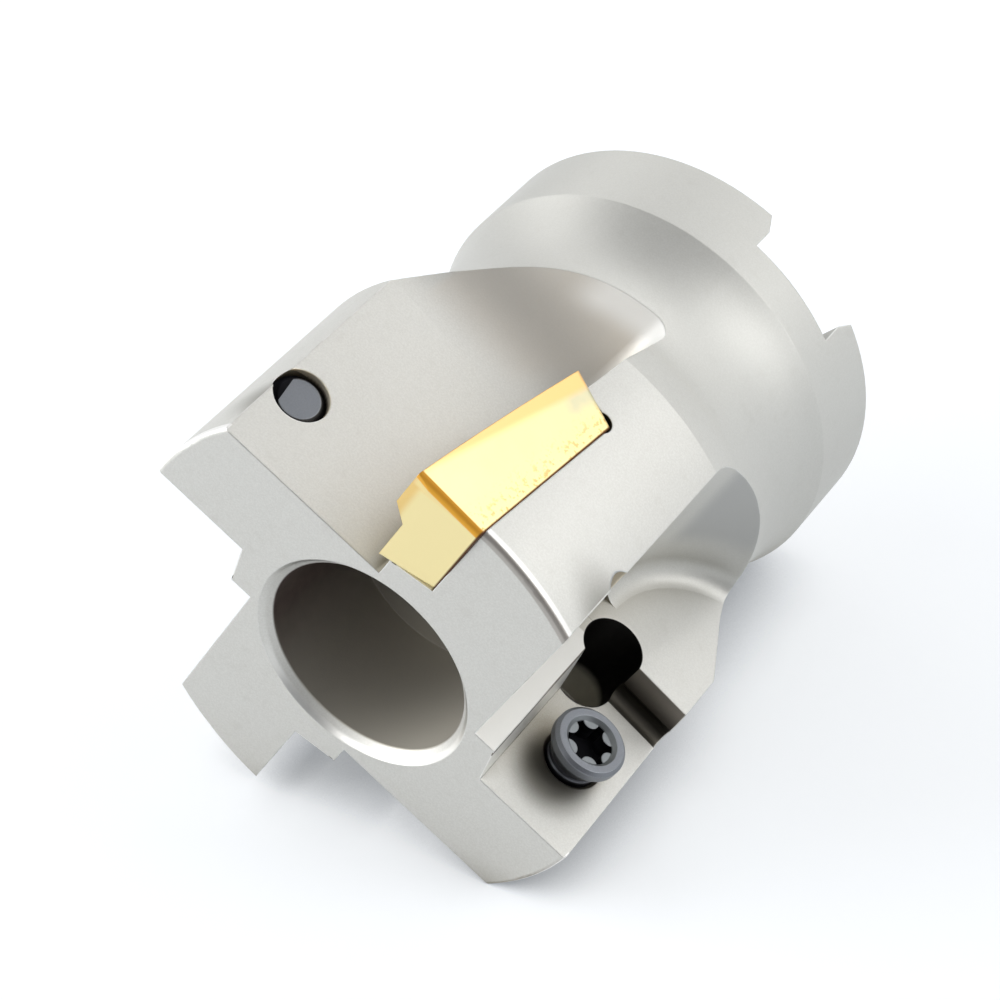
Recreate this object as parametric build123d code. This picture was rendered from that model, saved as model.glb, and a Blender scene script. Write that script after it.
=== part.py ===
from build123d import *
import math
import os

# Indexable face mill, 40 mm, with four pockets: one insert is still clamped, and the other
# three pockets hold only their screws. All sizes are in millimetres and degrees.
#
# Everything is modelled in the cutter frame: the origin is the middle of the front face, +Z runs
# forward along the axis, and +X points at the first tooth. The last step turns the pieces into the
# part frame, where the mill lies on two teeth and its flange, and the origin is the middle of the
# rear seating face.

# Body of revolution
tooth_count = 4
body_length = 42.1
body_radius = 18.65
body_cylinder_length = 19.1
front_edge_round = 0.35
cone_radius = 16.75
cone_length = 4.0
neck_radius = 15.15
flange_radius = 16.25
flange_length = 7.2
flange_chamfer = 0.5

# Bore, from the front counterbore back to the arbor
front_bore_radius = 7.6
front_bore_depth = 10.9
front_bore_chamfer = 0.8
bolt_hole_radius = 4.5
arbor_bore_radius = 8.0
arbor_bore_depth = 18.0
arbor_bore_chamfer = 0.5

# Drive slots across the rear face
drive_slot_width = 8.4
drive_slot_depth = 3.9
drive_slot_lead_in = 0.9
drive_slot_lead_in_depth = 2.0
drive_slot_angle = -15.0

# Gullets, milled with a large end mill and run out with one that has rounded corners
gullet_wall_distance = 8.565
gullet_floor_height = 3.0
gullet_floor_rake = 6.2
gullet_mill_radius = 10.2
gullet_corner_radius = 1.6
gullet_length = 17.8

# Insert seats
seat_below_centre = 0.335
seat_rake = 4.8
pocket_wall_distance = 10.95
pocket_centre_back = 7.02
corner_hole_radius = 2.3
corner_hole_from_side = 0.8
corner_hole_from_back = 0.95
corner_hole_lean = 20.0
corner_hole_depth = 3.0
groove_radius = 0.8
groove_height = 0.65
groove_undercut = 0.25

# Insert, a parallelogram 16 x 9.5 x 4.8 with a clearance angle all round. Its long edges fall from
# the nose to the far end, and the high half of each short edge drops down a ramp to the low half.
insert_width = 9.525
insert_length = 16.1
insert_thickness = 4.76
insert_clearance = 11.0
insert_dish = 3.5
insert_nose_rise = 0.5
insert_heel_fall = 0.7
insert_ramp_width = 1.6
insert_ramp_offset = 0.65
insert_corner_radius = 0.45
insert_hole_radius = 2.2
chip_groove_radius = 1.8
chip_groove_depth = 0.35
chip_groove_land = 0.3
wiper_relief_height = 1.3
wiper_relief_depth = 0.18

# Insert screws, M4 with a 60 degree head
screw_length = 9.9
screw_radius = 2.0
screw_fit = 0.04
screw_tip_chamfer = 0.5
screw_head_radius = 2.7
screw_head_rim = 0.85
screw_head_chamfer = 0.25
screw_head_angle = 60.0
screw_mouth_chamfer = 0.25
head_below_insert = 0.35
head_above_empty_seat = 2.7
recess_dish_radius = 1.95
recess_dish_depth = 0.3
recess_tip_radius = 1.68
recess_depth = 1.7
recess_flute_radius = 0.62
recess_flute_distance = 1.78
recess_flutes = 6

# Sizes that follow from those above
tooth_pitch = 360 / tooth_count
clearance_tan = math.tan(math.radians(insert_clearance))
insert_foot_width = insert_width - 2 * insert_thickness * clearance_tan
insert_foot_length = insert_length - 2 * insert_thickness * clearance_tan
insert_top = insert_thickness + insert_nose_rise
insert_centre = (pocket_wall_distance + insert_foot_width / 2, pocket_centre_back)
dish_tan = math.tan(math.radians(insert_dish))
pocket_back = pocket_centre_back + (insert_foot_length + insert_foot_width * dish_tan) / 2
screw_hole_radius = screw_radius + screw_fit
head_cone_length = (screw_head_radius - screw_radius) / math.tan(math.radians(screw_head_angle / 2))
outside = 2 * body_radius
upwards = (Align.CENTER, Align.CENTER, Align.MIN)
downwards = (Align.CENTER, Align.CENTER, Align.MAX)


def tooth_turn(tooth):
    """The turn about the axis that carries the first tooth onto another one."""
    return Rot(0, 0, tooth * tooth_pitch)


def raked_plane(height, rake):
    """A plane that looks along the cutting direction and sinks towards the rear.

    Its X is radial, its Y runs back along the plane from the front face, and its Z is its normal.
    """
    turn = math.radians(rake)
    return Plane(origin=(0, height, 0), x_dir=(1, 0, 0), z_dir=(0, math.cos(turn), -math.sin(turn)))


seat_plane = raked_plane(-seat_below_centre, seat_rake)
gullet_plane = raked_plane(gullet_floor_height, gullet_floor_rake)


def body_blank():
    """The turned body: teeth cylinder, cone, hollow neck, flange and the stepped bore."""
    cone_end = -body_cylinder_length - cone_length
    flange_start = flange_length - body_length
    neck_middle = (cone_end + flange_start) / 2
    neck = ThreePointArc(
        (cone_radius, cone_end), (neck_radius, neck_middle), (flange_radius, flange_start)
    )
    edge = RadiusArc(
        (body_radius - front_edge_round, 0), (body_radius, -front_edge_round), front_edge_round
    )
    face = Line((front_bore_radius + front_bore_chamfer, 0), edge @ 0)
    side = Polyline(edge @ 1, (body_radius, -body_cylinder_length), (cone_radius, cone_end))
    rear = Polyline(
        (flange_radius, flange_start),
        (flange_radius, flange_chamfer - body_length),
        (flange_radius - flange_chamfer, -body_length),
        (arbor_bore_radius + arbor_bore_chamfer, -body_length),
        (arbor_bore_radius, arbor_bore_chamfer - body_length),
        (arbor_bore_radius, arbor_bore_depth - body_length),
        (bolt_hole_radius, arbor_bore_depth - body_length),
        (bolt_hole_radius, -front_bore_depth),
        (front_bore_radius, -front_bore_depth),
        (front_bore_radius, -front_bore_chamfer),
        (front_bore_radius + front_bore_chamfer, 0),
    )
    return revolve(Plane.XZ * make_face(face + edge + side + neck + rear), Axis.Z)


def gullet():
    """What the end mills take away: a flat floor and wall, and a run-out with a rounded corner."""
    centre = gullet_wall_distance + gullet_mill_radius
    reach = gullet_length + body_radius
    path = Pos(centre, gullet_length - reach / 2) * Rectangle(2 * gullet_mill_radius, reach)
    mill = Cylinder(gullet_mill_radius, outside, align=upwards)
    mill = fillet(mill.edges().sort_by(Axis.Z)[0], gullet_corner_radius)
    run_out = gullet_plane.location * Pos(centre, gullet_length) * mill
    return extrude(gullet_plane * path, amount=outside) + run_out


def pocket():
    """The seat and its two leaning walls, the groove under the rear wall and the corner hole."""
    x = pocket_wall_distance
    height = 2 * gullet_floor_height
    floor = Polyline(
        (x, pocket_back),
        (x + outside, pocket_back - outside * dish_tan),
        (x + outside, -outside),
        (x, -outside),
        close=True,
    )
    walls = extrude(make_face(floor), amount=height, taper=-insert_clearance)
    groove_back = pocket_back + groove_height * clearance_tan + groove_undercut - groove_radius
    groove = Pos(outside / 2, 0) * Rot(0, 90, 0) * Cylinder(groove_radius, outside)
    groove = Pos(x, groove_back, groove_height) * Rot(0, 0, -insert_dish) * groove
    drill = Cylinder(corner_hole_radius, corner_hole_depth + height, align=upwards)
    drill = Rot(-corner_hole_lean, 0, 0) * Pos(0, 0, -corner_hole_depth) * drill
    hole = Pos(x + corner_hole_from_side, pocket_back - corner_hole_from_back) * drill
    return seat_plane.location * (walls + groove + hole)


def screw_hole():
    """The tapped hole through the tooth, square to the seat, with a small chamfer at its mouth."""
    mouth_radius = screw_hole_radius + screw_mouth_chamfer
    shaft = Pos(0, 0, -outside / 2) * Cylinder(screw_hole_radius, outside)
    mouth = Cone(screw_hole_radius, mouth_radius, screw_mouth_chamfer, align=downwards)
    return seat_plane.location * Pos(*insert_centre) * (shaft + mouth)


def drive_slot():
    """The slot across the rear face that the arbor's keys enter, with a flared mouth."""
    half = drive_slot_width / 2
    flared = half + drive_slot_lead_in
    floor = drive_slot_depth - body_length
    flare = drive_slot_lead_in_depth - body_length
    section = Polyline(
        (half, floor),
        (half, flare),
        (flared, -body_length),
        (-flared, -body_length),
        (-half, flare),
        (-half, floor),
        close=True,
    )
    slot = extrude(Plane.YZ * make_face(section), amount=outside, both=True)
    return Rot(0, 0, drive_slot_angle) * slot


def cutter_body():
    body = body_blank() - drive_slot()
    cuts = gullet() + pocket() + screw_hole()
    for tooth in range(tooth_count):
        body -= tooth_turn(tooth) * cuts
    return body


def insert_foot():
    """The parallelogram that the insert stands on."""
    x = insert_foot_width / 2
    y = insert_foot_length / 2
    skew = x * dish_tan
    outline = Polyline((x, -y - skew), (x, y - skew), (-x, y + skew), (-x, skew - y), close=True)
    return make_face(outline)


def insert_half():
    """The space under one long edge, which curves down from the nose to the heel.

    Its inner side leans out, so that a ramp joins the high part of each short edge to the low part.
    """
    reach = insert_length / 2
    heel_top = insert_thickness - insert_heel_fall
    edge = ThreePointArc((-reach, insert_top), (0, insert_thickness), (reach, heel_top))
    under = Polyline(
        (reach, heel_top),
        (insert_length, heel_top),
        (insert_length, 0),
        (-insert_length, 0),
        (-insert_length, insert_top),
        (-reach, insert_top),
    )
    below_edge = extrude(Plane.YZ * make_face(edge + under), amount=insert_width, both=True)
    lean = insert_thickness * insert_ramp_width / (insert_nose_rise + insert_heel_fall)
    ramp = Polyline(
        (insert_ramp_offset - lean, 0),
        (insert_ramp_offset + lean, 2 * insert_thickness),
        (insert_width + lean, 2 * insert_thickness),
        (insert_width + lean, 0),
        close=True,
    )
    return below_edge & extrude(Plane.XZ * make_face(ramp), amount=insert_length, both=True)


def chip_groove():
    """The hollow behind one long cutting edge, along the fall of that edge."""
    fall = math.atan((insert_nose_rise + insert_heel_fall) / insert_length)
    half_width = math.sqrt(chip_groove_radius**2 - (chip_groove_radius - chip_groove_depth) ** 2)
    x = insert_width / 2 - chip_groove_land - half_width
    half_run = insert_length / 2 - chip_groove_land - 2 * half_width
    height = insert_thickness + chip_groove_radius - chip_groove_depth
    end = Pos(0, 0, half_run) * Sphere(chip_groove_radius)
    run = Cylinder(chip_groove_radius, 2 * half_run) + end + mirror(end, about=Plane.XY)
    return Pos(x, 0, height) * Rot(90 - math.degrees(fall), 0, 0) * run


def front_flank_point(x, height):
    """A point on the insert's front flank, which leans forward and follows the dish."""
    return Vector(x, -insert_foot_length / 2 - height * clearance_tan - x * dish_tan, height)


def wiper_relief():
    """The narrow facet on the front flank under the wiper edge, deepest at the nose."""
    lower_height = insert_top - wiper_relief_height
    half_foot = insert_foot_width / 2
    inner = front_flank_point(insert_ramp_offset + insert_ramp_width / 2, insert_top)
    lower = front_flank_point(half_foot + lower_height * clearance_tan, lower_height)
    nose = front_flank_point(half_foot + insert_top * clearance_tan, insert_top)
    nose += Vector(0, wiper_relief_depth, 0)
    facet = Plane(origin=inner, x_dir=lower - inner, z_dir=(lower - inner).cross(nose - inner))
    return facet.location * Box(insert_length, insert_length, insert_width, align=upwards)


def insert():
    """The insert, standing on its foot at the origin with one nose at +X and -Y."""
    blank = extrude(insert_foot(), amount=insert_top, taper=-insert_clearance)
    upright = math.cos(math.radians(2 * insert_clearance))
    corners = [edge for edge in blank.edges() if abs(edge.tangent_at(0).Z) > upright]
    blank = fillet(corners, insert_corner_radius)
    half_turn = Rot(0, 0, 180)
    solid = blank & (insert_half() + half_turn * insert_half())
    solid -= chip_groove() + half_turn * chip_groove()
    solid -= wiper_relief()
    solid -= half_turn * wiper_relief()
    rim = insert_thickness - head_below_insert - screw_head_rim
    cone = (screw_head_radius - insert_hole_radius) / math.tan(math.radians(screw_head_angle / 2))
    hole = Polyline(
        (0, 0),
        (insert_hole_radius, 0),
        (insert_hole_radius, rim - cone),
        (screw_head_radius, rim),
        (screw_head_radius + screw_fit, rim),
        (screw_head_radius + screw_fit, 2 * insert_top),
        (0, 2 * insert_top),
        close=True,
    )
    return solid - revolve(Plane.XZ * make_face(hole), Axis.Z)


def screw_recess():
    """The six-lobed driving recess, with a shallow dish round it."""
    star = Circle(recess_tip_radius)
    star -= PolarLocations(recess_flute_distance, recess_flutes) * Circle(recess_flute_radius)
    socket = extrude(star, amount=-recess_depth)
    slope = recess_dish_radius - recess_dish_depth
    dish = Cone(slope, recess_dish_radius, recess_dish_depth, align=downwards)
    return socket + dish


def insert_screw():
    """One screw, with the middle of its head's top at the origin and its shank down -Z."""
    cone_start = -screw_head_rim
    cone_end = cone_start - head_cone_length
    outline = Polyline(
        (0, 0),
        (screw_head_radius - screw_head_chamfer, 0),
        (screw_head_radius, -screw_head_chamfer),
        (screw_head_radius, cone_start),
        (screw_radius, cone_end),
        (screw_radius, screw_tip_chamfer - screw_length),
        (screw_radius - screw_tip_chamfer, -screw_length),
        (0, -screw_length),
        close=True,
    )
    return revolve(Plane.XZ * make_face(outline), Axis.Z) - screw_recess()


def lying_angle():
    """How far the first tooth is turned up from level when the mill lies on two teeth.

    It rests on the gullet floor's outer edge just behind one pocket, and on the back edge of the
    next tooth.
    """
    back = pocket_centre_back + insert_foot_length / 2 - insert_foot_width / 2 * dish_tan
    seat_slope = math.tan(math.radians(seat_rake))
    floor_slope = math.tan(math.radians(gullet_floor_rake))
    wall = gullet_floor_height + seat_below_centre - back * (floor_slope - seat_slope)
    floor_edge = gullet_floor_height - (back + wall * clearance_tan) * floor_slope
    first = 2 * tooth_pitch + math.degrees(math.asin(floor_edge / body_radius))
    second = 3 * tooth_pitch - math.degrees(math.asin(gullet_wall_distance / body_radius))
    return 270 - (first + second) / 2


def lying_frame():
    """The part frame, with its origin in the rear face and the mill lying on its side."""
    turn = math.radians(lying_angle())
    level = (math.cos(turn), 0, math.sin(turn))
    return Plane(origin=(0, -body_length, 0), x_dir=level, z_dir=(0, -1, 0))


def seated(piece, tooth, height):
    """A piece set over the middle of one tooth's seat, at a height above it."""
    return tooth_turn(tooth) * seat_plane.location * Pos(*insert_centre, height) * piece


def pieces():
    clamped_head = insert_thickness - head_below_insert
    heads = [clamped_head] + [head_above_empty_seat] * (tooth_count - 1)
    made = {"cutter_body": cutter_body(), "cutting_insert": seated(insert(), 0, 0)}
    for tooth, height in enumerate(heads):
        made[f"insert_screw_{tooth + 1}"] = seated(insert_screw(), tooth, height)
    return made


os.makedirs("parts", exist_ok=True)
for name, piece in pieces().items():
    export_step(lying_frame().location * piece, f"parts/{name}.step")
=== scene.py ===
import math

import bpy
from mathutils import Matrix, Vector


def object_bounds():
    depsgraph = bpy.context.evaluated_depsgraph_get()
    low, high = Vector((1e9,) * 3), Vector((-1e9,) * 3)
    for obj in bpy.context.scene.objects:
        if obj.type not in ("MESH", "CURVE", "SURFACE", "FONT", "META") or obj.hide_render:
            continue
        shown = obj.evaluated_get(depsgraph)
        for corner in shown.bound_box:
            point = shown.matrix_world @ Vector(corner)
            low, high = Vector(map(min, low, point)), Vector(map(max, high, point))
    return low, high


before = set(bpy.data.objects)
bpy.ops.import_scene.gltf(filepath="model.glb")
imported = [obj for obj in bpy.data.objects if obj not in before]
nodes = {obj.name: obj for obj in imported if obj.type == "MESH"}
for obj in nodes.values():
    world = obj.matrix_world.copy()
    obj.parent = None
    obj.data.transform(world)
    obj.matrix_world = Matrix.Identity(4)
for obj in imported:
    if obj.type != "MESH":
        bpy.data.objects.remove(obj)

cad_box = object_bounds()

# Lengths are in millimetres, apart from those of the lights, and MM turns them into metres.
# The mill lies along Y with its cutting end towards -Y.
MM = 0.001
FLOOR_HEIGHT = cad_box[0].z
FLOOR_SIZE = 3000

# Camera
CAMERA_PLACE = Vector((90.73, -157.2, 129.3)) * MM
CAMERA_AIM = Vector((-1.514, -22.437, -0.416)) * MM
CAMERA_ROLL = -3.511
CAMERA_LENS = 106.0

# Even light from all round, and softboxes: name, place and size in metres, and power
WORLD_LEVEL = 0.2
WORLD_COLOUR = (0.95, 0.97, 1.0, 1)
WHITE = (1, 1, 1, 1)
LIGHT_AIM = Vector((0, -0.02, 0))
LAMPS = (
    ("back", (0.018, 0.499, 0.300), 0.35, 0.68),
    ("back_right_low", (0.290, 0.482, 0.155), 0.35, 0.36),
    ("back_right", (0.398, 0.210, 0.386), 0.30, 0.68),
    ("right", (0.547, 0.116, 0.205), 0.30, 0.76),
    ("back_left", (-0.320, 0.389, 0.300), 0.35, 0.45),
    ("left", (-0.487, 0.129, 0.318), 0.40, 0.60),
    ("front_left", (-0.471, -0.292, 0.254), 0.40, 2.5),
    ("front", (-0.162, -0.464, 0.369), 0.30, 0.60),
    ("top", (0.052, -0.020, 0.598), 0.40, 0.15),
)

# Floor: how much of it glows for the camera and in reflections, how strongly near the mill, and
# where the camera's plain white takes over
GLOW_SHARE = 0.45
FLOOR_GLOW = 1.35
FLOOR_NEAR, FLOOR_FAR = 180, 450
FLOOR_COLOUR = (0.86, 0.885, 0.92, 1)
GLOW_COLOUR = (0.965, 0.985, 1.0)
SHADOW_COLOUR = (0.08, 0.10, 0.13)

# Angle of the first tooth round the Y axis, and from one tooth to the next
FIRST_TOOTH = math.radians(56.477)
PITCH = math.radians(90)

# Body, about the Y axis. The bore's colour reaches a little way out from its wall.
BODY_LENGTH = 42.1
BODY_RADIUS = 18.65
BORE_RADIUS = 7.6
BORE_SKIN = 0.12
BORE_CHAMFER = 0.7

# Insert seats, each seen from its own tooth. A place is how far out from the axis it is and how
# far back from the front, and a height is over the seat.
SEAT_BELOW_CENTRE = 0.335
SEAT_RAKE = math.radians(4.8)
SCREW_PLACE = (14.787, 7.02)
SHADE_PLACE = (14.3, 4.7)

# Walls of the pocket: the inner side with the ledge over it, and the back
POCKET_SIDE = 10.95
POCKET_BACK = 14.379
WALL_LEAN = math.tan(math.radians(11))
WALL_SKEW = math.tan(math.radians(3.5))
WALL_HEIGHT = 2.9
LEDGE_HEIGHT = 3.0
LEDGE_WIDTH = 1.6

# Groove at the foot of the back wall (place behind that wall, and height), and the corner's hole
GROOVE_PLACE = (-0.424, 0.65)
GROOVE_RADIUS = 0.8
CORNER_HOLE_PLACE = (11.75, 13.429)
CORNER_HOLE_RADIUS = 2.3
CORNER_HOLE_LEAN = math.radians(20)

# Hole that the next tooth's screw tip shows in: how far back it is from the front, and its height
TIP_HOLE_PLACE = (5.11, 15.6)
TIP_HOLE_RADIUS = 2.03

# Screws: heights of their heads over the seat, and the M4 thread
CLAMPED_HEAD = 4.41
STANDING_HEAD = 2.7
SHANK_BELOW_TOP = 2.06
DISH_RADIUS = 1.98
DISH_DEPTH = 0.3
THREAD_PITCH = 0.7

# Insert: the foot of its outer front corner, and how far out its flank is
NOSE_FOOT = (18.624, -0.339)
OUTER_FLANK = 18.6

# Colours of the body. A pair is a range to go through.
STEEL = (0.655, 0.645, 0.605), (0.69, 0.685, 0.65)
SPECKLED_STEEL = (0.745, 0.74, 0.705)
BLOTCHED_STEEL = (0.58, 0.565, 0.52)
SHADED_STEEL = (0.50, 0.465, 0.40)
CREVICE_SHADE = (0.22, 0.195, 0.14)
WORN_STEEL = (0.86, 0.86, 0.84)
EDGE_BURR_AND_HIGHLIGHT = (0.93, 0.92, 0.90)
REAR_STEEL = (0.52, 0.525, 0.50)
SEAT_SHADE = (0.12, 0.11, 0.085)
SIDE_WALL_LIGHT_AND_SHADE = (0.92, 0.91, 0.87), (0.20, 0.18, 0.15)
LEDGE = (0.82, 0.81, 0.78)
TIP_HOLE_LIGHT = (0.86, 0.79, 0.65)
BACK_WALL_SHADE = (0.05, 0.042, 0.034), (0.30, 0.27, 0.23)
GROOVE_SHADE = (0.03, 0.026, 0.02), (0.12, 0.11, 0.09)
CORNER_HOLE_SHADE_AND_LIGHT = (0.008, 0.007, 0.006), (0.50, 0.48, 0.42)
RUN_OUT_WARM_REFLECTION = (0.72, 0.665, 0.59)
RUN_OUT_HIGHLIGHT = (1.0, 1.0, 0.98)
RUN_OUT_SHADE = (0.45, 0.455, 0.455)
FRONT_EDGE_SHADE = (0.33, 0.29, 0.26)
FRONT_ROUND_SHADE = (0.27, 0.24, 0.22)
BORE = (0.07, 0.05, 0.045), (0.14, 0.105, 0.09)
BORE_LOW_SIDE_LIGHT = (0.50, 0.475, 0.41)
BORE_MOUTH_LIGHT = (0.95, 0.94, 0.90)

# Colours of the insert
GOLD = (0.99, 0.785, 0.36), (1.0, 0.83, 0.42)
WORN_GOLD = (0.50, 0.52, 0.41)
FRONT_GOLD = (1.0, 0.86, 0.45)
TOP_GOLD = (0.90, 0.58, 0.24)
WIPER_GOLD = (0.92, 0.66, 0.25)
FLECK = (0.62, 0.36, 0.10)
CORNER_REFLECTION = (0.72, 0.33, 0.02), (0.93, 0.47, 0.04)
GOLD_EDGE = (0.80, 0.50, 0.14)
JOINT_SHADE = (0.10, 0.035, 0.01)

# Colours of the screws
BLUED = (0.19, 0.20, 0.22), (0.27, 0.285, 0.31)
BLUED_EDGE = (0.46, 0.48, 0.51)
SCREW_CREVICE_SHADE = (0.01, 0.01, 0.014)
DISH = (0.25, 0.265, 0.275)
SOCKET_SHADE = (0.006, 0.006, 0.008)
NECK_SHADE = (0.04, 0.04, 0.048)
THREAD_ROOT_SHADE = (0.015, 0.015, 0.02)


class Finish:
    """A node-built material, with short calls that add and join its nodes."""

    def __init__(self, name):
        self.material = bpy.data.materials.new(name)
        self.material.use_nodes = True
        self.tree = self.material.node_tree
        self.tree.nodes.clear()
        metres = self.add("ShaderNodeTexCoord").outputs["Object"]
        self.place = self.vector("MULTIPLY", metres, (1 / MM,) * 3)

    def add(self, kind, inputs=(), **settings):
        """Adds a node. Each input is a socket to join or a value to set, by name or number."""
        node = self.tree.nodes.new(kind)
        for key, value in settings.items():
            setattr(node, key, value)
        for key, value in dict(inputs).items():
            if isinstance(value, bpy.types.NodeSocket):
                self.tree.links.new(value, node.inputs[key])
            else:
                node.inputs[key].default_value = value
        return node

    def math(self, operation, first, second=0.0):
        inputs = {0: first, 1: second}
        return self.add("ShaderNodeMath", inputs, operation=operation).outputs[0]

    def plus(self, first, second):
        return self.math("ADD", first, second)

    def less(self, first, second):
        return self.math("SUBTRACT", first, second)

    def times(self, first, second):
        return self.math("MULTIPLY", first, second)

    def vector(self, operation, first, second=(0, 0, 0), output="Vector"):
        inputs = {0: first, 1: second}
        return self.add("ShaderNodeVectorMath", inputs, operation=operation).outputs[output]

    def dot(self, first, second):
        return self.vector("DOT_PRODUCT", first, second, "Value")

    def parts(self, vector):
        return self.add("ShaderNodeSeparateXYZ", {0: vector}).outputs

    def join(self, x, y, z=0.0):
        return self.add("ShaderNodeCombineXYZ", {0: x, 1: y, 2: z}).outputs[0]

    def reach(self, x, y):
        """The distance from the point where both numbers are 0."""
        return self.vector("LENGTH", self.join(x, y), output="Value")

    def noise(self, size, detail=2.0, roughness=0.5):
        """Noise whose grains are about size across, from 0 to 1."""
        inputs = {"Scale": 1 / size, "Detail": detail, "Roughness": roughness}
        return self.add("ShaderNodeTexNoise", {**inputs, "Vector": self.place}).outputs["Fac"]

    def step(self, value, start, end):
        """A mask that goes smoothly from 0 at start to 1 at end, whichever is larger."""
        inputs = {"Value": value, "From Min": start, "From Max": end}
        return self.add("ShaderNodeMapRange", inputs, interpolation_type="SMOOTHSTEP").outputs[0]

    def near_zero(self, value, inner, outer):
        """A mask that is 1 within inner of 0, and 0 beyond outer."""
        return self.all_of(self.step(value, -outer, -inner), self.step(value, outer, inner))

    def all_of(self, mask, *others):
        """The mask of what is in each of these masks."""
        for other in others:
            mask = self.times(mask, other)
        return mask

    def none_of(self, mask):
        """The mask of what is outside this one."""
        return self.less(1.0, mask)

    def mix(self, share, first, second):
        """A colour that goes from the first to the second."""
        node = self.add("ShaderNodeMix", {"Factor": share}, data_type="RGBA")
        for name, value in (("A_Color", first), ("B_Color", second)):
            socket = next(s for s in node.inputs if s.identifier == name)
            if isinstance(value, bpy.types.NodeSocket):
                self.tree.links.new(value, socket)
            else:
                socket.default_value = (*value, 1.0)
        return next(s for s in node.outputs if s.identifier == "Result_Color")

    def tint(self, strength, mask, colour, over):
        """The colour with another one over it, at this strength, where the mask is."""
        return self.mix(self.times(mask, strength), colour, over)

    def blend(self, share, first, second):
        """A number that goes from the first to the second."""
        inputs = {"Factor": share, "A": first, "B": second}
        return self.add("ShaderNodeMix", inputs, data_type="FLOAT").outputs["Result"]

    def in_tooth(self):
        """The place seen from whichever tooth is nearest, as if it were the first one.

        Its X is radial, its Y is the cutting direction and its Z runs forward from the front face.
        """
        x, y, z = self.parts(self.place)
        turn = self.less(self.math("ARCTAN2", z, x), FIRST_TOOTH - 0.3 * PITCH)
        tooth = self.math("FLOOR", self.math("DIVIDE", turn, PITCH))
        angle = self.plus(self.times(tooth, PITCH), FIRST_TOOTH)
        cosine, sine = self.math("COSINE", angle), self.math("SINE", angle)
        along = self.plus(self.times(x, cosine), self.times(z, sine))
        across = self.less(self.times(z, cosine), self.times(x, sine))
        forward = self.less(self.times(y, -1.0), BODY_LENGTH)
        return self.join(along, across, forward)

    def on_seat(self):
        """How far out, how far back from the front and how high over the seat, for any tooth."""
        x, y, z = self.parts(self.in_tooth())
        y = self.plus(y, SEAT_BELOW_CENTRE)
        cosine, sine = math.cos(SEAT_RAKE), math.sin(SEAT_RAKE)
        back = self.less(self.times(z, -cosine), self.times(y, sine))
        up = self.less(self.times(y, cosine), self.times(z, sine))
        return x, back, up

    def facing(self):
        """The normal of the surface."""
        return self.add("ShaderNodeNewGeometry").outputs["Normal"]

    def edges(self, radius):
        """The normal rounded over edges, and how near an edge a point is, from 0 to 1."""
        normal = self.add("ShaderNodeBevel", {"Radius": radius * MM}, samples=8).outputs[0]
        turned = self.less(1.0, self.dot(normal, self.facing()))
        return normal, self.step(turned, 0.005, 0.12)

    def openness(self, distance):
        """1 in the open and 0 deep in a hollow."""
        inputs = {"Distance": distance * MM}
        return self.add("ShaderNodeAmbientOcclusion", inputs, samples=8).outputs["AO"]

    def bump(self, height, distance, normal, strength=1.0):
        """The normal, turned by a height that goes up to this distance."""
        inputs = {"Height": height, "Distance": distance * MM, "Normal": normal}
        return self.add("ShaderNodeBump", {**inputs, "Strength": strength}).outputs[0]

    def surface(self, colour, roughness, metallic, normal):
        inputs = {"Base Color": colour, "Roughness": roughness, "Metallic": metallic}
        shader = self.add("ShaderNodeBsdfPrincipled", {**inputs, "Normal": normal})
        self.add("ShaderNodeOutputMaterial", {"Surface": shader.outputs[0]})
        return self.material


def seat_shade(f, steel, seat):
    """Shade on the seat beside the screw."""
    out, back, up = seat
    away = f.reach(f.less(out, SHADE_PLACE[0]), f.less(back, SHADE_PLACE[1]))
    shade = f.all_of(f.step(away, 3.9, 1.4), f.step(up, 0.2, 0.05))
    return f.tint(0.8, shade, steel, SEAT_SHADE)


def pocket_side(f, steel, seat, from_front):
    """Painted light on the wall at the pocket's inner side, painted shade along its top, and the
    ledge over it.
    """
    out, back, up = seat
    before = f.step(back, POCKET_BACK - 0.6, POCKET_BACK - 0.8)
    beyond = f.less(f.plus(out, f.times(up, WALL_LEAN)), POCKET_SIDE)
    height = f.all_of(f.step(up, 0.05, 0.2), f.step(up, LEDGE_HEIGHT + 0.2, LEDGE_HEIGHT + 0.1))
    wall = f.all_of(f.near_zero(beyond, 0.05, 0.08), before, height)
    top = f.step(up, LEDGE_HEIGHT - 0.25, LEDGE_HEIGHT - 0.1)
    steel = f.mix(wall, steel, f.mix(top, *SIDE_WALL_LIGHT_AND_SHADE))
    width = f.step(beyond, -1.5 * LEDGE_WIDTH, -LEDGE_WIDTH)
    width = f.all_of(f.step(beyond, -0.02, -0.10), width)
    over = f.step(up, LEDGE_HEIGHT - 0.2, LEDGE_HEIGHT - 0.1)
    under = f.step(up, LEDGE_HEIGHT + 0.7, LEDGE_HEIGHT + 0.5)
    ledge = f.all_of(width, before, over, under, f.step(from_front, 0.02, 0.06))
    return f.tint(0.8, ledge, steel, LEDGE)


def tip_hole(f, steel, seat):
    """Pale brown painted light on the wall of the hole that a screw's tip shows in."""
    out, back, up = seat
    away = f.reach(f.less(back, TIP_HOLE_PLACE[0]), f.less(up, TIP_HOLE_PLACE[1]))
    hole_light = f.all_of(f.step(away, TIP_HOLE_RADIUS + 0.04, TIP_HOLE_RADIUS), f.step(out, 6, 7))
    return f.mix(hole_light, steel, TIP_HOLE_LIGHT)


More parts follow.
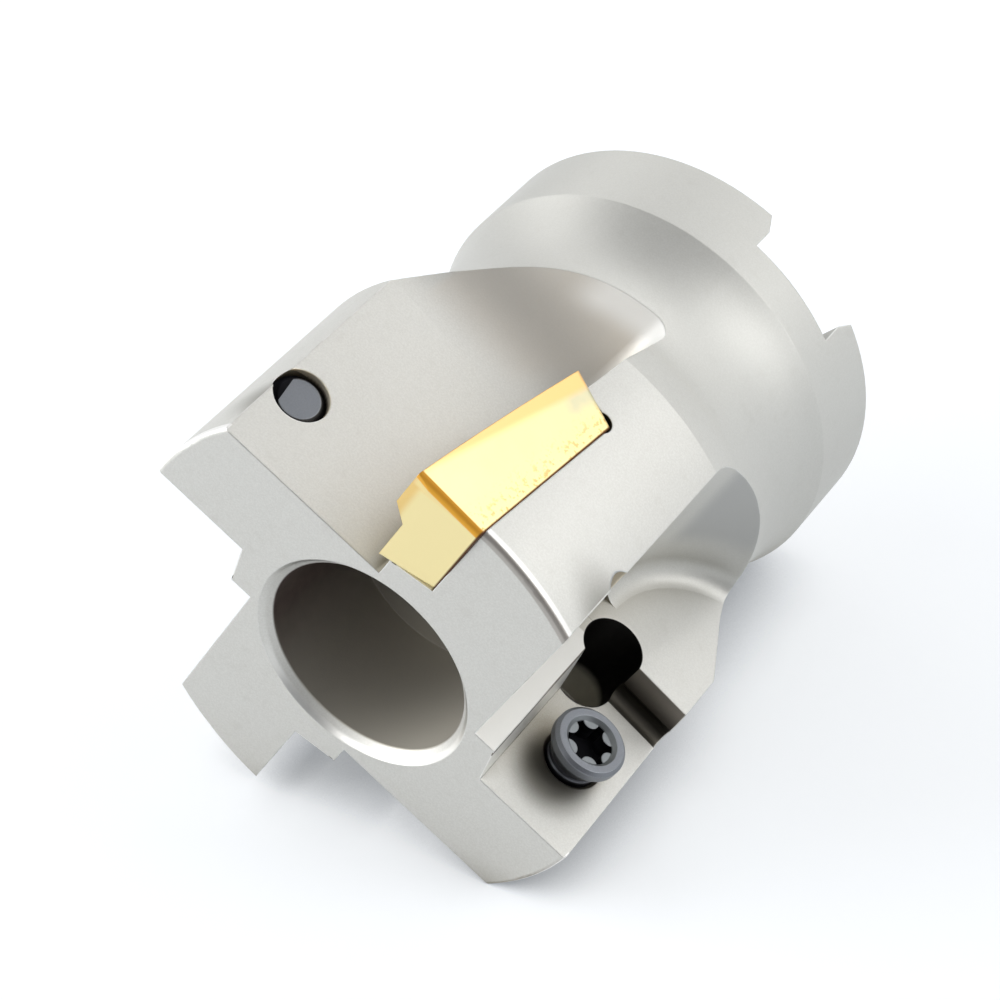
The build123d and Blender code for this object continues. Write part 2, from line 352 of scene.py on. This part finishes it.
def pocket_back(f, steel, seat, inner):
    """Painted shade on the wall at the pocket's back, darkest low down, and in the groove at its
    foot.
    """
    out, back, up = seat
    behind = f.less(f.plus(back, f.times(f.less(out, POCKET_SIDE), WALL_SKEW)), POCKET_BACK)
    wall = f.near_zero(f.less(behind, f.times(up, WALL_LEAN)), 0.03, 0.06)
    wall = f.all_of(wall, f.step(up, WALL_HEIGHT + 0.1, WALL_HEIGHT), inner)
    steel = f.mix(wall, steel, f.mix(f.step(up, 1.0, 2.8), *BACK_WALL_SHADE))
    away = f.reach(f.less(behind, GROOVE_PLACE[0]), f.less(up, GROOVE_PLACE[1]))
    groove = f.all_of(f.step(away, GROOVE_RADIUS + 0.05, GROOVE_RADIUS + 0.02), inner)
    return f.mix(groove, steel, f.mix(f.step(up, 0.3, -0.1), *GROOVE_SHADE))


def corner_hole(f, steel, seat):
    """Painted black shade in the leaning hole at the pocket's corner, and painted light, grey, low
    on its far wall.
    """
    out, back, up = seat
    behind = f.times(f.less(back, CORNER_HOLE_PLACE[1]), math.cos(CORNER_HOLE_LEAN))
    behind = f.less(behind, f.times(up, math.sin(CORNER_HOLE_LEAN)))
    away = f.reach(f.less(out, CORNER_HOLE_PLACE[0]), behind)
    hole = f.step(away, CORNER_HOLE_RADIUS + 0.06, CORNER_HOLE_RADIUS + 0.01)
    return f.mix(hole, steel, f.mix(f.step(up, -1.1, -1.9), *CORNER_HOLE_SHADE_AND_LIGHT))


def run_out(f, steel, seat, off_axis):
    """Paints a warm reflection on the gullet's run-out and a highlight at its end on the mill's
    upper side, and paints shade on its lower side.

    It also returns the painted highlight's mask.
    """
    _, back, up = seat
    x, _, z = f.parts(f.place)
    outwards = f.vector("NORMALIZE", f.join(x, 0.0, z))
    turned_in = f.step(f.dot(f.facing(), outwards), 0.93, 0.80)
    inner = f.all_of(f.step(off_axis, 17.0, 16.4), turned_in)
    upper = f.step(z, 6, 10)
    warm = f.all_of(inner, upper, f.step(back, 18.0, 22.0))
    steel = f.tint(0.6, warm, steel, RUN_OUT_WARM_REFLECTION)
    end = f.all_of(f.step(back, 24.6, 26.3), f.step(back, 29.2, 28.6), f.step(up, 10.5, 7.5))
    bright = f.all_of(f.step(off_axis, 12.6, 14.4), end, inner, upper)
    steel = f.mix(bright, steel, RUN_OUT_HIGHLIGHT)
    end = f.all_of(f.step(back, 21.5, 23.5), f.step(back, 27.5, 26.5), f.step(up, 5.5, 8.0))
    dull = f.all_of(end, inner, f.none_of(upper))
    return f.tint(0.75, dull, steel, RUN_OUT_SHADE), bright


def front_edge(f, steel, front, from_front, off_axis):
    """The front edge: on the first tooth painted shade in a band with a painted highlight line
    behind it; on the others a pale burred edge with that painted highlight.
    """
    x, _, z = f.parts(f.place)
    rim = f.less(off_axis, BODY_RADIUS)
    first = f.all_of(f.step(x, 3, 5), f.step(z, -9, -7))
    band = f.all_of(front, first, f.step(rim, -0.62, -0.46))
    steel = f.tint(0.6, band, steel, FRONT_EDGE_SHADE)
    steel = f.tint(0.35, f.all_of(band, f.step(from_front, 0.01, 0.05)), steel, FRONT_ROUND_SHADE)
    line = f.all_of(f.step(from_front, 0.75, 0.6), f.step(rim, -0.16, -0.09))
    clear = f.math("MAXIMUM", f.step(from_front, 0.24, 0.36), f.none_of(first))
    return f.mix(f.all_of(line, clear), steel, EDGE_BURR_AND_HIGHLIGHT)


def body_finish():
    """Satin nickel-plated steel, finely blasted, with bright worn edges and dark bores, and
    painted light and shade in its hollows, pockets, gullets and front edge.
    """
    f = Finish("blasted_steel")
    speckle = f.noise(0.14, detail=3, roughness=0.7)
    blotch = f.noise(1.1, detail=2)
    cloud = f.noise(9, detail=1)
    normal, near = f.edges(0.16)
    open_air = f.openness(6)
    worn = f.all_of(near, f.step(open_air, 0.45, 0.75), f.step(blotch, 0.35, 0.6))
    steel = f.mix(cloud, *STEEL)
    steel = f.mix(f.step(speckle, 0.30, 0.75), steel, SPECKLED_STEEL)
    steel = f.tint(0.2, f.step(blotch, 0.55, 0.8), steel, BLOTCHED_STEEL)
    # Painted shade: darker in hollows, and darker still in crevices.
    steel = f.mix(f.step(f.openness(16), 0.68, 0.18), steel, SHADED_STEEL)
    steel = f.mix(f.step(open_air, 0.78, 0.1), steel, CREVICE_SHADE)
    steel = f.mix(worn, steel, WORN_STEEL)

    x, y, z = f.parts(f.place)
    off_axis = f.reach(x, z)
    from_front = f.plus(y, BODY_LENGTH)
    seat = f.on_seat()
    inner = f.step(off_axis, BODY_RADIUS - 0.03, BODY_RADIUS - 0.08)
    steel = seat_shade(f, steel, seat)
    steel = pocket_side(f, steel, seat, from_front)
    steel = tip_hole(f, steel, seat)
    steel = pocket_back(f, steel, seat, inner)
    steel = corner_hole(f, steel, seat)
    steel, bright = run_out(f, steel, seat, off_axis)
    front = f.step(from_front, 0.45, 0.25)
    steel = front_edge(f, steel, front, from_front, off_axis)
    steel = f.tint(0.35, f.step(y, -26, -12), steel, REAR_STEEL)

    inside = f.step(off_axis, BORE_RADIUS + BORE_SKIN, BORE_RADIUS)
    # Painted light on the bore's lower side, which faces up to the light coming in.
    bored = f.mix(f.step(z, 1.5, -7.5), f.mix(blotch, *BORE), BORE_LOW_SIDE_LIGHT)
    colour = f.mix(inside, steel, bored)
    # The bore's chamfer is a smoother machined ring, and its lower half is painted light.
    mouth = f.step(off_axis, BORE_RADIUS + BORE_CHAMFER + 0.15, BORE_RADIUS + BORE_CHAMFER)
    mouth = f.all_of(mouth, front, f.none_of(inside))
    colour = f.mix(f.all_of(mouth, f.step(z, -1, -5)), colour, BORE_MOUTH_LIGHT)
    roughness = f.blend(worn, f.blend(speckle, 0.46, 0.58), 0.32)
    roughness = f.blend(mouth, roughness, 0.33)
    metallic = f.blend(bright, f.blend(inside, 0.85, 0.25), 0.05)
    return f.surface(colour, roughness, metallic, f.bump(speckle, 0.03, normal, 0.25))


def insert_finish():
    """Ground carbide with a gold-coloured nitride coat, worn pale at the far end, with a painted
    reflection along the nose corner and painted shade along its foot.
    """
    f = Finish("gold_nitride")
    grain = f.noise(0.12, detail=3, roughness=0.7)
    fleck = f.noise(0.35, detail=3, roughness=0.6)
    cloud = f.noise(2.5, detail=2)
    normal, near = f.edges(0.1)
    out, back, up = f.on_seat()
    gold = f.mix(cloud, *GOLD)
    flank = f.step(out, OUTER_FLANK - 0.3, OUTER_FLANK)
    pale = f.all_of(f.step(back, 8.0, 13.0), f.step(up, 0.9, 2.6), flank)
    pale = f.all_of(pale, f.blend(f.step(cloud, 0.3, 0.6), 0.6, 1.0))
    gold = f.tint(0.8, pale, gold, WORN_GOLD)
    gold = f.mix(f.none_of(flank), gold, FRONT_GOLD)
    top = f.plus(up, f.times(back, 0.15))
    gold = f.mix(f.step(top, 4.7, 5.35), gold, TOP_GOLD)
    wiper = f.all_of(f.step(up, 4.3, 4.9), f.step(out, OUTER_FLANK + 0.2, OUTER_FLANK - 0.2))
    gold = f.mix(wiper, gold, WIPER_GOLD)
    flecks = f.all_of(flank, f.step(up, 2.2, 0.2), f.step(fleck, 0.52, 0.64))
    gold = f.tint(0.7, flecks, gold, FLECK)

    lean = f.times(up, WALL_LEAN)
    aside = f.less(f.less(out, lean), NOSE_FOOT[0])
    ahead = f.less(f.plus(back, lean), NOSE_FOOT[1])
    corner = f.step(f.reach(aside, ahead), 0.52, 0.40)
    # Painted reflection: an orange line along the rounded nose corner.
    gold = f.mix(corner, gold, f.mix(f.step(aside, -0.04, -0.25), *CORNER_REFLECTION))
    gold = f.tint(0.35, near, gold, GOLD_EDGE)
    # Painted shade along the insert's foot, where it meets the seat.
    gold = f.mix(f.step(up, 0.20, 0.06), gold, JOINT_SHADE)
    roughness = f.blend(corner, f.blend(grain, 0.30, 0.44), 0.6)
    metallic = f.blend(corner, 0.9, 0.35)
    return f.surface(gold, roughness, metallic, f.bump(grain, 0.015, normal, 0.2))


def screw_finish(head_top):
    """Blue-black oxidised steel with a satin sheen and a thread below the head, with painted shade
    in its crevices, socket, neck and thread roots.
    """
    f = Finish("oxidised_steel")
    grain = f.noise(0.1, detail=3, roughness=0.7)
    normal, near = f.edges(0.1)
    steel = f.mix(grain, *BLUED)
    steel = f.tint(0.5, near, steel, BLUED_EDGE)
    # Painted shade in the screw's crevices.
    steel = f.mix(f.step(f.openness(1.2), 0.62, 0.3), steel, SCREW_CREVICE_SHADE)

    out, back, up = f.on_seat()
    aside, ahead = f.less(out, SCREW_PLACE[0]), f.less(back, SCREW_PLACE[1])
    dish_floor = head_top - DISH_DEPTH
    in_dish = f.step(f.reach(aside, ahead), DISH_RADIUS, DISH_RADIUS - 0.08)
    dish = f.all_of(in_dish, f.step(up, dish_floor - 0.06, dish_floor))
    steel = f.mix(dish, steel, DISH)
    # Painted shade: the socket below the dish is black.
    socket = f.all_of(in_dish, f.step(up, dish_floor - 0.02, dish_floor - 0.08))
    steel = f.mix(socket, steel, SOCKET_SHADE)
    # Painted shade on the neck and shank under the head.
    steel = f.tint(0.5, f.step(up, head_top - 0.7, head_top - 1.2), steel, NECK_SHADE)

    turn = f.math("DIVIDE", f.math("ARCTAN2", ahead, aside), 2 * math.pi)
    climb = f.less(f.math("DIVIDE", up, THREAD_PITCH), turn)
    thread = f.math("PINGPONG", climb, 0.5)
    shank_top = head_top - SHANK_BELOW_TOP
    shank = f.step(up, shank_top, shank_top - 0.2)
    # Painted shade in the thread's roots.
    steel = f.mix(f.all_of(shank, f.step(thread, 0.3, 0.1)), steel, THREAD_ROOT_SHADE)
    ridged = f.bump(f.all_of(thread, shank), 0.35, normal)
    roughness = f.blend(socket, f.blend(grain, 0.34, 0.48), 1.0)
    return f.surface(steel, roughness, 0.85, f.bump(grain, 0.015, ridged, 0.15))


def dress(node, material):
    """Gives a node of the frame its finish."""
    piece = nodes[node]
    piece.data.materials.clear()
    piece.data.materials.append(material)


def floor():
    """A pale plane under the mill, which shows white to the camera and keeps the shadow."""
    f = Finish("pale_floor")
    lit = f.add("ShaderNodeBsdfDiffuse", {"Color": FLOOR_COLOUR})
    ray = f.add("ShaderNodeLightPath")
    camera = ray.outputs["Is Camera Ray"]
    seen = f.math("MAXIMUM", camera, ray.outputs["Is Glossy Ray"])
    seen = f.math("MAXIMUM", seen, ray.outputs["Is Transmission Ray"])
    far = f.step(f.vector("LENGTH", f.place, output="Value"), FLOOR_NEAR, FLOOR_FAR)
    share = f.plus(f.times(seen, GLOW_SHARE), f.times(f.all_of(camera, far), 1 - GLOW_SHARE))
    level = f.blend(camera, 1.0, f.blend(far, FLOOR_GLOW, 1.0))
    # Painted shadow: the glow darkens near the mill, where the floor is hemmed in.
    colour = f.mix(f.step(f.openness(9), 0.72, 0.02), GLOW_COLOUR, SHADOW_COLOUR)
    glow = f.add("ShaderNodeEmission", {"Color": colour, "Strength": level})
    shader = f.add("ShaderNodeMixShader", {0: share, 1: lit.outputs[0], 2: glow.outputs[0]})
    f.add("ShaderNodeOutputMaterial", {"Surface": shader.outputs[0]})
    bpy.ops.mesh.primitive_plane_add(size=FLOOR_SIZE * MM, location=(0, 0, FLOOR_HEIGHT))
    plane = bpy.context.object
    plane.name = "floor"
    plane.data.materials.append(f.material)


def soft_light(name, place, size, power):
    """A square softbox that looks at the mill."""
    data = bpy.data.lights.new(name, "AREA")
    data.shape = "SQUARE"
    data.size = size
    data.energy = power
    lamp = bpy.data.objects.new(name, data)
    lamp.location = place
    lamp.rotation_euler = (LIGHT_AIM - Vector(place)).to_track_quat("-Z", "Y").to_euler()
    bpy.context.scene.collection.objects.link(lamp)


def studio():
    """Even light that the camera sees as white, and the softboxes."""
    world = bpy.data.worlds.new("studio")
    bpy.context.scene.world = world
    world.use_nodes = True
    tree = world.node_tree
    tree.nodes.clear()
    ray = tree.nodes.new("ShaderNodeLightPath")
    plain = tree.nodes.new("ShaderNodeBackground")
    plain.inputs["Color"].default_value = WORLD_COLOUR
    plain.inputs["Strength"].default_value = WORLD_LEVEL
    white = tree.nodes.new("ShaderNodeBackground")
    white.inputs["Color"].default_value = WHITE
    mix = tree.nodes.new("ShaderNodeMixShader")
    out = tree.nodes.new("ShaderNodeOutputWorld")
    tree.links.new(ray.outputs["Is Camera Ray"], mix.inputs[0])
    tree.links.new(plain.outputs[0], mix.inputs[1])
    tree.links.new(white.outputs[0], mix.inputs[2])
    tree.links.new(mix.outputs[0], out.inputs[0])
    for lamp in LAMPS:
        soft_light(*lamp)


def camera():
    """The camera at the photograph's viewing angle."""
    data = bpy.data.cameras.new("camera")
    data.lens = CAMERA_LENS
    data.sensor_width = 36
    data.clip_start = 0.01
    eye = bpy.data.objects.new("camera", data)
    aim = (CAMERA_AIM - CAMERA_PLACE).to_track_quat("-Z", "Y").to_matrix().to_4x4()
    roll = Matrix.Rotation(math.radians(CAMERA_ROLL), 4, "Z")
    eye.matrix_world = Matrix.Translation(CAMERA_PLACE) @ aim @ roll
    bpy.context.scene.collection.objects.link(eye)
    bpy.context.scene.camera = eye


bpy.context.scene.view_settings.view_transform = "Standard"
dress("cutter_body", body_finish())
dress("cutting_insert", insert_finish())
dress("insert_screw_1", screw_finish(CLAMPED_HEAD))
standing = screw_finish(STANDING_HEAD)
for tooth in (2, 3, 4):
    dress(f"insert_screw_{tooth}", standing)
floor()
studio()
camera()
